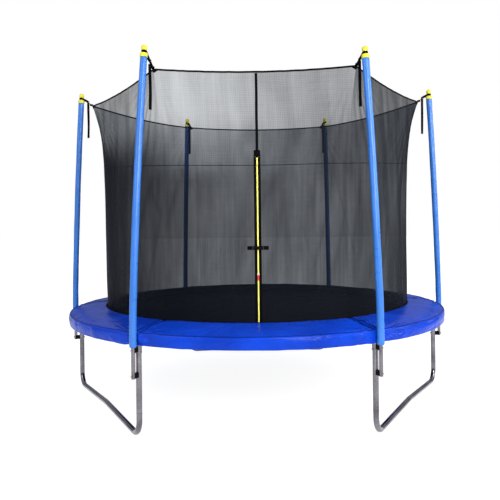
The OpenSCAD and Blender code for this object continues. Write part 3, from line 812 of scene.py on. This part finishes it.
def zip_coil():
    """A narrow core with a row of teeth, every other one set to the other side."""
    shape = Shape()
    pitch, shift = 0.0032, 0.0011
    shape.ribbon(xyz(0, 0, np.linspace(low, high, 90)), ACROSS, 0.0086, 0.0014)
    tooth = np.array([(math.cos(q) * 0.00118, math.sin(q) * 0.0018)
                      for q in np.linspace(0, 2 * math.pi, 9)[:-1]])
    for k, z in enumerate(np.arange(low + pitch, high - pitch, pitch)):
        side = shift if k % 2 else -shift
        rings = []
        for x, grow in ((-0.0033, 0.55), (-0.0025, 1.0), (0.0025, 1.0), (0.0033, 0.55)):
            rings.append([(x + side, t[1] * grow, z + t[0] * grow) for t in tooth])
        shape.loft(rings)
    made(shape, "zip_teeth", "zip_teeth", replaces=["zip_coil"], move=DOOR)


def zip_slider(pivot):
    shape = Shape()
    top = along(SLIDER_Z)
    section = [(-1, -0.0026), (-0.96, -0.0046), (-0.7, -0.0050), (0, -0.0051), (0.7, -0.0050),
               (0.96, -0.0046), (1, -0.0026), (0.8, -0.0024), (0, -0.0024), (-0.8, -0.0024)]
    rings = []
    for z, half in ((top - SLIDER_H, 0.0052), (top - 0.012, 0.0056), (top - 0.006, 0.0068),
                    (top - 0.0015, 0.0070), (top, 0.0056)):
        rings.append([(x * half, y, z) for x, y in section])
    shape.loft(rings)
    for x in (-0.0045, 0.0045):
        arch = [(x, y, pivot + z) for y, z in ((-0.0046, -0.0032), (-0.0068, -0.0030), (-0.0083, -0.0014),
                                               (-0.0083, 0.0014), (-0.0068, 0.0030), (-0.0046, 0.0032))]
        shape.ribbon(rounded(arch, 0.001, 4), ACROSS, 0.0020, 0.0011)
    made(shape, "slider_body", "slider_metal", "zip_slider", replaces=["zip_slider"], move=DOOR)


def zip_puller(pivot):
    """A pin, a neck and a ribbed tag, given as (distance below the pivot, half width, thickness) in mm."""
    shape = Shape()
    shape.tube([(x, -0.007, pivot) for x in (-0.0032, -0.0031, 0, 0.0031, 0.0032)],
               [0.0007, 0.0010, 0.0010, 0.0010, 0.0007], 16)
    shape.block((-0.0030, -0.0080, pivot - 0.0065), (0.0030, -0.0064, pivot - 0.0002), 0.0005)
    section = [(-1, 0), (-0.95, -0.7), (-0.8, -1), (0, -1), (0.8, -1), (0.95, -0.7), (1, 0), (0.95, 0.7),
               (0.8, 1), (0, 1), (-0.8, 1), (-0.95, 0.7)]
    rings = []
    for z, half, thick in ((4, 3.0, 1.0), (5, 3.6, 1.6), (7, 5.0, 2.1), (9, 5.5, 2.2), (13, 5.2, 1.9),
                           (16, 5.4, 2.2), (19, 5.2, 1.8), (22, 5.4, 2.2), (25, 5.2, 1.8), (28, 5.4, 2.2),
                           (31, 5.2, 1.8), (34, 5.3, 2.2), (36.5, 4.4, 1.9), (38, 2.6, 1.2)):
        rings.append([(half / 1000 * x, -0.0075 + thick / 2000 * y, pivot - z / 1000) for x, y in section])
    shape.loft(rings[::-1])
    made(shape, "puller_tag", "puller_red", "zip_puller", replaces=["zip_puller"], move=DOOR)


def plate(shape, outline_xz, y0, y1, soft=0.0006):
    """A flat plate with a rounded rim: outline in x and z, from y0 to y1."""
    o = np.asarray(outline_xz, float)
    mid = o.mean(0)
    rings = []
    for y, inset in ((y0, soft), (y0 + soft * 0.4, soft * 0.3), (y0 + soft, 0), (y1 - soft, 0),
                     (y1 - soft * 0.4, soft * 0.3), (y1, soft)):
        p = mid + (o - mid) * (1 - inset / np.abs(o - mid).max(0))
        rings.append(xyz(p[:, 0], y, p[:, 1]))
    shape.loft(rings)


def buckle_socket():
    """Two waisted plates joined at the back, bars for the webbing, and ribs to grip."""
    shape = Shape()
    lower = [(-0.024, -0.0128), (-0.012, -0.0104), (0.004, -0.0108), (0.0138, -0.0118)]
    waisted = [(x, bz + z) for x, z in lower] + [(x, bz - z) for x, z in lower[::-1]]
    for y0, y1 in ((0, 0.0019), (0.0071, 0.009)):
        plate(shape, rounded(waisted, 0.003, 4, True), by + y0, by + y1)
    for x0, x1, y, half, soft in ((-0.0262, -0.0215, 0, 0.0128, 0.0010),
                                  (-0.0400, -0.0362, 0.0008, 0.0125, 0.0014),
                                  (-0.0318, -0.0262, 0.0008, 0.0125, 0.0012)):
        shape.block((x0, by + y, bz - half), (x1, by + 0.009 - y, bz + half), soft)
    for z in (bz - 0.0112, bz + 0.0112):
        shape.block((-0.0400, by + 0.0004, z - 0.0015), (-0.0230, by + 0.0086, z + 0.0015), 0.0009)
        shape.block((0.0098, by + 0.0004, z - 0.0008), (0.0138, by + 0.0086, z + 0.0008), 0.0006)
    for z in bz + 0.0034 * np.arange(-2, 3):
        shape.block((-0.010, by - 0.0004, z - 0.0008), (0.006, by + 0.0006, z + 0.0008), 0.0005)
    made(shape, "buckle_socket", "black_plastic", replaces=["buckle_housing"], move=DOOR)


def buckle_insert():
    """A back with a bar for the webbing, two sprung arms and the guide between them."""
    shape = Shape()
    for x0, x1, y, half in ((0.0160, 0.0205, 0, 0.0130), (0.0200, 0.0340, 0.0006, 0.0128),
                            (0.0384, 0.0420, 0.0008, 0.0128)):
        shape.block((x0, by + y, bz - half), (x1, by + 0.009 - y, bz + half), 0.0014)
    for sign in (-1, 1):
        z = bz + sign * 0.0114
        shape.block((0.0330, by + 0.0006, z - 0.0014), (0.0420, by + 0.0084, z + 0.0014), 0.0009)
        half = ((0.0165, 0.0075), (0.006, 0.0080), (-0.004, 0.0086), (-0.0105, 0.0084), (-0.0138, 0.0062))
        arm = [(x, by + 0.0045, bz + sign * rise) for x, rise in half]
        shape.ribbon(rounded(arm, 0.003, 4), (0, 1.0, 0), 0.0040, 0.0022)
    shape.block((-0.0138, by + 0.0026, bz - 0.0019), (0.0165, by + 0.0064, bz + 0.0019))
    made(shape, "buckle_insert", "black_plastic", "buckle_clip", replaces=["buckle_clip"], move=DOOR)


def buckle_web(name, sign, bar_x, **options):
    """Webbing from its patch to the buckle's bar, round it and back, as (x, y) points."""
    y_bar = by + 0.0045
    points = [(sign * 0.064, -0.0044), (sign * 0.056, -0.0050), (sign * 0.049, -0.0080),
              (bar_x + sign * 0.0042, y_bar + 0.0052), (bar_x + sign * 0.0010, y_bar + 0.0052),
              (bar_x - sign * 0.0030, y_bar + 0.0030), (bar_x - sign * 0.0033, y_bar - 0.0010),
              (bar_x - sign * 0.0020, y_bar - 0.0050), (bar_x + sign * 0.0022, y_bar - 0.0054),
              (bar_x + sign * 0.0042, y_bar - 0.0028), (sign * 0.0500, -0.0105), (sign * 0.0580, -0.0068)]
    shape = Shape()
    shape.ribbon(rounded([(x, y, bz) for x, y in points], 0.004, 5), (0, 0, 1.0), STRAP_W, 0.0014)
    return made(shape, name, "webbing", move=DOOR, **options)


door_bindings()
door_stitching()
zip_tapes()
zip_coil()
zip_slider(along(SLIDER_Z - 0.008))
zip_puller(along(SLIDER_Z - 0.008))
buckle_socket()
buckle_insert()
buckle_web("buckle_web_left", -1, -0.0381)
web = buckle_web("buckle_web_right", 1, 0.0402, ride=False)
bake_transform(web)

# ------------ jumping mat, rings and springs
SECTORS = 12


def mat_sector(k):
    """A gore of the mat, held by the springs at its rim."""
    radii = np.concatenate([np.linspace(0.0, 1.2, 37), np.linspace(1.225, MAT_R, 4)])
    half_t = MAT_T / 2
    profile = [(r, half_t) for r in radii] + [(MAT_R + 0.0006, 0.0)] + [(r, -half_t) for r in radii[::-1]]
    rings = []
    for q in np.linspace(0, 1, 11):
        angle = 2 * math.pi * (k + q) / SECTORS
        rings.append([(r * math.cos(angle), r * math.sin(angle), MAT_Z + h) for r, h in profile])
    shape = Shape()
    shape.loft(rings)
    piece = made(shape, f"mat_{k + 1:02d}", "mat_fabric", ride=False, replaces=["jump_mat"])
    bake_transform(piece)


def mat_hem():
    """Webbing sewn round the mat on both faces, and a loop of it for each ring."""
    shape = Shape()
    around = np.linspace(0, 2 * math.pi, 241)[:-1]
    outward = xyz(np.cos(around), np.sin(around), 0)
    for level in (0.0022, -0.0022):
        shape.ribbon(1.282 * outward + (0, 0, MAT_Z + level), outward, 0.038, 0.0014, closed=True)
    half = [(1.276, 0.0036), (1.302, 0.0040), (1.3105, 0.0022)]
    path = [(r, 0, MAT_Z + h) for r, h in half] + [(r, 0, MAT_Z - h) for r, h in half[::-1]]
    loop = Shape()
    loop.ribbon(rounded(path, 0.003, 4), (0, 1.0, 0), 0.024, 0.0014)
    shape.spread(loop, SPRINGS, 0.5)
    made(shape, "mat_hem", "webbing")


def mat_rings():
    path = rounded([(1.3065, -0.0150, MAT_Z), (1.3265, 0, MAT_Z), (1.3065, 0.0150, MAT_Z)], 0.006, 5, True)
    one = Shape()
    one.tube(path, 0.0019, 8, closed=True)
    shape = Shape()
    shape.spread(one, SPRINGS, 0.5)
    made(shape, "mat_ring_wires", "spring_steel", replaces=["mat_rings"])


def springs():
    """Coils with a hook at each end, one wire from end to end."""
    turns, start, end, wire = 32, 1.3425, 1.4625, 0.0016
    q = np.linspace(0, 1, turns * 9 + 1)
    swell = 0.0082 * smooth(np.minimum(q, 1 - q), 0.0, 0.05) + 0.0002
    angle = q * turns * 2 * math.pi
    helix = xyz(start + (end - start) * q, swell * np.cos(angle), MAT_Z + swell * np.sin(angle))
    hooks = []
    for radius, points in ((0.003, [(1.3215, -0.0022), (1.3195, -0.0002), (1.3210, 0.0032), (1.3300, 0.0034),
                                    (1.3380, 0.0004)]),
                           (0.002, [(1.4670, 0.0), (1.4740, 0.0008), (1.4790, 0.0006), (1.4797, -0.0012)])):
        hooks.append(rounded([(r, 0, MAT_Z + h) for r, h in points], radius, 4))
    one = Shape()
    one.tube(np.concatenate([hooks[0], helix, hooks[1]]), wire, 5)
    shape = Shape()
    shape.spread(one, SPRINGS, 0.5)
    made(shape, "springs_coiled", "spring_steel", replaces=["springs"])


for sector in range(SECTORS):
    mat_sector(sector)
mat_hem()
mat_rings()
springs()


# ------------ foam sleeves and caps
def sleeve(i):
    """Foam in a PVC cover with ring folds and one lengthwise seam, hollow at its lower end."""
    length = SLEEVE_LENGTH[i]
    s = np.unique(np.concatenate([np.linspace(0, 0.03, 9), np.linspace(0.03, 1.80, 150),
                                  np.linspace(1.80, length, 7)]))
    x, z, a = pole_at(i, s)
    out, centre = xyz(np.cos(a), 0, np.sin(a)), xyz(x, 0, z)
    sides = 44
    q = np.arange(sides) / sides * 2 * math.pi
    rough = Noise(200 + i)
    r = np.full((len(s), sides), SLEEVE_R - 0.0006)
    r += 0.0009 * rough.octaves(s[:, None] * 7, np.cos(q)[None] * 1.3 + np.sin(q)[None] * 0.9 + 9, 2)
    round_about = 0.5 + 0.5 * np.cos(q - 2.1 * rough(s * 3, 8.0)[:, None] * 3)
    r -= 0.0013 * np.maximum(0, rough(s * 26, 3.0 + 0 * s))[:, None] * round_about
    seam_at = math.pi + 0.5 * math.sin(i * 1.7)
    gap = (q - seam_at + math.pi) % (2 * math.pi) - math.pi
    r -= 0.0016 * np.exp(-((gap / 0.055) ** 2))[None]
    r += 0.0006 * np.exp(-(((gap - 0.16) / 0.07) ** 2))[None]
    tuck = smooth(s, 0.0, 0.012)[:, None]
    r = r * (0.86 + 0.14 * tuck) + 0.0008 * (1 - smooth(s, 0.0, 0.03))[:, None] * np.cos(q * 9 + i)[None]
    r = np.where(s[:, None] > length - 0.006, np.minimum(r, SLEEVE_R - 0.0008), r)
    r = np.minimum(r, SLEEVE_R + 0.0006)
    spoke = out[:, None] * np.cos(q)[:, None] + xyz(0, np.sin(q), 0)
    rings = centre[:, None] + r[..., None] * spoke
    lip = centre[0] + (rings[0] - centre[0]) * 0.80 + (0, 0, 0.0010)
    well = centre[0] + (rings[0] - centre[0]) * 0.66 + (0, 0, 0.0040)
    shape = Shape()
    shape.loft(np.concatenate([[well, lip], rings]))
    shape.turn(STEP * i)
    piece = made(shape, f"foam_sleeve_{i + 1}", "sleeve_pvc", replaces=[f"pole_sleeve_{i + 1}"])


def cap(i):
    """A ribbed collar, a neck and a ball with a parting line round it."""
    ball_z = COLLAR_H + NECK_H + BALL_R - 0.005
    angles = np.concatenate([np.linspace(-math.acos(0.0158 / BALL_R), -0.06, 9), (-0.03, 0.0, 0.03),
                             np.linspace(0.06, 1.545, 18)])
    ball = [(BALL_R * math.cos(q) + (0.0004 if abs(q) < 0.04 else 0), ball_z + BALL_R * math.sin(q))
            for q in angles]
    lower = [(0.0130, 0.0003), (0.0240, 0.0003), (0.0254, 0.0008), (COLLAR_R, 0.0022), (COLLAR_R, 0.0060),
             (0.0256, 0.0064), (0.0256, 0.0196), (COLLAR_R, 0.0200), (COLLAR_R, 0.0232), (0.0254, 0.0250),
             (0.0238, 0.0262), (0.0190, 0.0270), (0.0166, 0.0280), (0.0154, 0.0300), (NECK_R, 0.0330),
             (NECK_R, 0.0440), (0.0152, 0.0466)]
    shape = Shape()
    shape.lathe(lower + ball, 64)
    rib = Shape()
    rib.block((0.0252, -0.0008, 0.0068), (0.0259, 0.0008, 0.0192), 0.0003)
    shape.spread(rib, 18)
    made(shape, f"ball_cap_{i + 1}", "cap_plastic", replaces=[f"pole_cap_{i + 1}"], move=top_frame(i))


for pole in range(SIDES):
    sleeve(pole)
    cap(pole)


# ------------ spring pads
PAD_IN, PAD_OUT = 1.2530, 1.5140  # where the top's flat stretch begins and ends
TOP_IN, TOP_OUT, TOP_CROWN = 0.7185, 0.6805, 0.0060
PAD_MID = 1.40  # radius at which lengths along a pad are measured
GAP = 0.004  # angle from a pad's end to the line between two pads
NOTCH_R = 0.0268  # the notch round a pole
SKIRT_IN, SKIRT_OUT, SKIRT_LOW = 1.5248, 1.5365, 0.5995


def pad_profile():
    """Points (radius, height, share of the fabric's freedom), once round the pad's section."""
    pts = [(1.2440, 0.6688, 0.1)]
    for q in np.linspace(0, 1, 8)[1:-1]:
        pts.append((1.2440 - 0.0008 * math.sin(math.pi * q), 0.6688 + 0.0392 * q, 0.3))
    for a in np.linspace(0, math.pi / 2, 6):
        pts.append((PAD_IN - 0.0090 * math.cos(a), TOP_IN - 0.0105 * (1 - math.sin(a)), 0.4))
    for q in np.linspace(0, 1, 52)[1:-1]:
        z = TOP_IN + (TOP_OUT - TOP_IN) * q + TOP_CROWN * math.sin(math.pi * q)
        pts.append((PAD_IN + (PAD_OUT - PAD_IN) * q, z, 1.0))
    for a in np.linspace(0, math.pi / 2, 6):
        pts.append((PAD_OUT + 0.0150 * math.sin(a), TOP_OUT - 0.0150 * (1 - math.cos(a)), 0.5))
    for q in np.linspace(0, 1, 18)[1:-1]:
        bulge = 0.0045 * math.sin(math.pi * min(1, q * 1.06))
        pts.append((1.5290 + bulge - 0.0012 * q, 0.6655 - 0.0615 * q, 1.0))
    pts += [(1.5274, 0.6018, 0.6), (1.5266, 0.5992, 0.5), (1.5252, 0.5980, 0.4), (1.5241, 0.5994, 0.2)]
    for q in np.linspace(0, 1, 8):
        pts.append((1.5236, 0.6020 + 0.0540 * q, 0.0))
    for q in np.linspace(0, 1, 16)[1:]:
        pts.append((1.5200 - 0.2740 * q, 0.6602 + 0.0080 * q, 0.0))
    return np.array(pts)


PROFILE = pad_profile()
EDGE_IN = 10
EDGE_OUT = int(np.argmax((PROFILE[:, 0] > 1.519) & (PROFILE[:, 1] > 0.67)))


def pad_lift(i, a, b, edge):
    """How far the cover stands off the section at a metres along pad i and b metres round its section,
    where edge is b at the outer edge."""
    n1, n2, n3, n4 = Noise(300 + i), Noise(320 + i), Noise(340 + i), Noise(360 + i)
    end = np.minimum(a, PAD_MID * STEP - a)
    from_edge = np.abs(b - edge)
    top = b < edge
    lift = 0.0045 * n1.octaves(a * 4.5, b * 5, 3)
    # creases across the top, and a finer set along its outer edge
    cross = ridged(n2(a * 15 + b * 9, b * 5 - a * 2) * 1.6, 4)
    lift -= 0.0045 * cross * smooth(n3.octaves(a * 2.2, b * 4 + 9, 2), 0.0, 0.5)
    hatch = ridged(n4(a * 34 - b * 14, b * 9) * 1.5, 3)
    lift -= 0.0032 * hatch * smooth(0.11 - from_edge, 0, 0.10) * smooth(n3(a * 3.1, 4.0), -0.5, 0.4)
    # folds that fan out from the pad's outer corners
    fan_angle = np.arctan2(np.maximum(edge - b, -0.1) + 0.01, end + 0.012)
    fan = ridged(n2(fan_angle * 7.5 + (a > 0.7) * 31, 2.0 + end * 1.5) * 1.5, 3)
    fan *= smooth(0.33 - np.hypot(end, edge - b), 0, 0.26) * smooth(end, 0, 0.03)
    lift -= 0.0080 * fan
    # the skirt's puffs and long creases
    dents = ridged(n3(a * 20 + b * 24, b * 14), 3) * smooth(n1(a * 5, 7.0), -0.2, 0.5)
    puff = n4.octaves(a * 11, b * 7 + 3, 2) * 0.0026 - 0.0028 * dents
    long = ridged(n2(a * 3.5 + b * 12, b * 26 + 5) * 1.5, 3) * smooth(n1(a * 3, 2.0), -0.6, 0.3)
    lift += np.where(top, 0, puff - 0.0040 * long) * smooth(from_edge, 0.0, 0.02)
    # rounded ends, the groove inside the outer edge, and the crumpled corners by the poles
    plump = np.sqrt(1 - (1 - np.clip(end / 0.032, 0, 1)) ** 2)
    lift -= np.where(top, 0.0150, 0.0070) * (1 - plump)
    lift -= 0.0040 * np.exp(-((b - edge + 0.014) / 0.006) ** 2)
    crumple = n3.octaves(a * 13 - b * 20, b * 16 + a * 5, 2)
    crumple = crumple * smooth(0.24 - end, 0, 0.18) * smooth(end, 0, 0.015)
    lift += np.where(top, 0.25, 1.0) * 0.0160 * crumple
    return lift


def pad_points(i):
    """The cover's points, columns along the pad by points round its section."""
    p = PROFILE
    t = np.linspace(0, 1, 281)[:, None]
    angle = GAP + (STEP - 2 * GAP) * t
    b = np.linalg.norm(np.diff(p[:, :2], axis=0, prepend=p[:1, :2]), axis=1).cumsum()[None]
    ring = np.roll(p[:, :2], -1, 0) - np.roll(p[:, :2], 1, 0)
    normal = unit(np.stack([-ring[:, 1], ring[:, 0]], -1))
    lift = pad_lift(i, PAD_MID * STEP * t, b, b[0, EDGE_OUT]) * p[None, :, 2]
    r = p[None, :, 0] + lift * normal[None, :, 0]
    z = p[None, :, 1] + lift * normal[None, :, 1]
    solid = (p[:, 2] > 0)[None]
    r = np.where(solid, np.clip(r, 1.2424, SKIRT_OUT), r)
    off = np.minimum(np.abs(angle), np.abs(STEP - angle)) * 1.52
    notch = POLE_R - np.sqrt(np.maximum(NOTCH_R**2 - off**2, 0))
    r = np.where(off < NOTCH_R, np.minimum(r, notch - 0.0002), r)
    skirt = (np.arange(len(p)) > EDGE_OUT + 3)[None] & solid & (p[None, :, 1] > SKIRT_LOW)
    r = np.where(skirt, np.maximum(r, SKIRT_IN), r)
    top = (b < b[0, EDGE_OUT]) & (b > b[0, EDGE_IN - 1])
    z = np.where(top, np.maximum(z, 0.6660), z)
    return xyz(r * np.cos(angle + STEP * i), r * np.sin(angle + STEP * i), z)


def pad_piping_painted_shade(i, points):
    """Piping along both edges and both ends, darker than the pad as painted shade, and a dark strip of
    painted shade in the gap between two pads.
    """
    trim = Shape()
    for column, out, up in ((EDGE_OUT - 1, 0.0012, 0.0010), (EDGE_IN + 1, -0.0004, 0.0012)):
        line = points[3:-3:2, column]
        trim.tube(line + unit(line * (1, 1, 0)) * out + (0, 0, up), 0.0021, 8)
    # the piping at both ends is real piping, dark as painted shade in the seam between two pads
    for row in (points[3], points[-4]):
        trim.tube(row[EDGE_IN + 2:EDGE_OUT - 3:3] + (0, 0, 0.0012), 0.0030, 8)
    # painted shade: a dark strip lying in the gap between two pads
    q = np.linspace(0, 1, 40)
    strip = xyz(1.248 + 0.262 * q, 0, 0.7040 - 0.036 * q + 0.004 * np.sin(math.pi * q))
    trim.ribbon(turn_z(strip, STEP * i), turn_z((0.0, 1.0, 0.0), STEP * i), 0.022, 0.0012)
    piping_painted_shade = made(trim, f"pad_piping_painted_shade_{i + 1}", "pad_vinyl")
    piping_painted_shade.data.materials[0] = MAT["piping_painted_shade"]


for panel in range(SIDES):
    cover = pad_points(panel)
    shape = Shape()
    shape.loft(cover)
    piece = made(shape, f"spring_pad_{panel + 1}", "pad_vinyl", replaces=[f"pad_{panel + 1}"])
    pad_piping_painted_shade(panel, cover)

# ------------ the CAD's own steel and plastic
for entry in frame["record"]["subparts"]:
    node = frame["nodes"][entry["node"]]
    if not node.hide_render:
        node.data.materials.clear()
        node.data.materials.append(MAT[entry["material_slot"]])
        sharpen(node)

# ------------ stage and light
floor_nodes = Nodes("floor")
floor_nodes.set(color=floor_nodes.mix(floor_nodes.noise(0.4, 2.0), (0.34, 0.34, 0.34), (0.36, 0.36, 0.36)),
                rough=0.9, specular=0.0)
floor_nodes.shader.inputs["Emission Color"].default_value = (1, 1, 1, 1)
floor_nodes.shader.inputs["Emission Strength"].default_value = 0.90
floor_mesh = bpy.data.meshes.new("floor")
floor_mesh.from_pydata([(-60, -60, 0), (60, -60, 0), (60, 60, 0), (-60, 60, 0)], [], [(0, 1, 2, 3)])
floor_mesh.materials.append(floor_nodes.material)
floor = bpy.data.objects.new("floor", floor_mesh)
scene.collection.objects.link(floor)



def studio():
    """White for what the camera sees directly, and a darker room for light and gloss."""
    world = bpy.data.worlds.new("studio")
    world.use_nodes = True
    tree = world.node_tree
    way, split, rise, walls, room, ray, either = [tree.nodes.new("ShaderNode" + kind) for kind in (
        "TexCoord", "SeparateXYZ", "MapRange", "Mix", "Background", "LightPath", "MixShader")]
    backdrop = tree.nodes["Background"]
    backdrop.inputs["Color"].default_value = (1.0, 1.0, 1.0, 1)
    rise.inputs["From Min"].default_value = 0.02
    rise.inputs["From Max"].default_value = 0.65
    walls.data_type = "RGBA"
    walls.inputs[6].default_value = (0.10, 0.13, 0.19, 1)
    walls.inputs[7].default_value = (0.80, 0.82, 0.86, 1)
    for start, end in ((way.outputs["Generated"], split.inputs[0]),
                       (split.outputs["Z"], rise.inputs["Value"]), (rise.outputs[0], walls.inputs[0]),
                       (walls.outputs[2], room.inputs["Color"]),
                       (ray.outputs["Is Camera Ray"], either.inputs[0]), (room.outputs[0], either.inputs[1]),
                       (backdrop.outputs[0], either.inputs[2]),
                       (either.outputs[0], tree.nodes["World Output"].inputs["Surface"])):
        tree.links.new(start, end)
    scene.world = world


def area_light(name, place, target, size, power):
    data = bpy.data.lights.new(name, "AREA")
    data.shape, data.size, data.size_y, data.energy = "RECTANGLE", size[0], size[1], power
    light = bpy.data.objects.new(name, data)
    scene.collection.objects.link(light)
    light.location = place
    light.rotation_euler = (Vector(target) - Vector(place)).to_track_quat("-Z", "Y").to_euler()


studio()
area_light("key", (2.2, -5.6, 3.2), (0, -0.5, 1.0), (2.4, 2.4), 300)
area_light("side", (5.5, -2.0, 3.0), (0, 0, 1.2), (2.5, 2.5), 160)
area_light("fill", (-4.5, -4.5, 3.5), (0, 0, 1.0), (3.0, 3.0), 90)

bpy.context.view_layer.update()
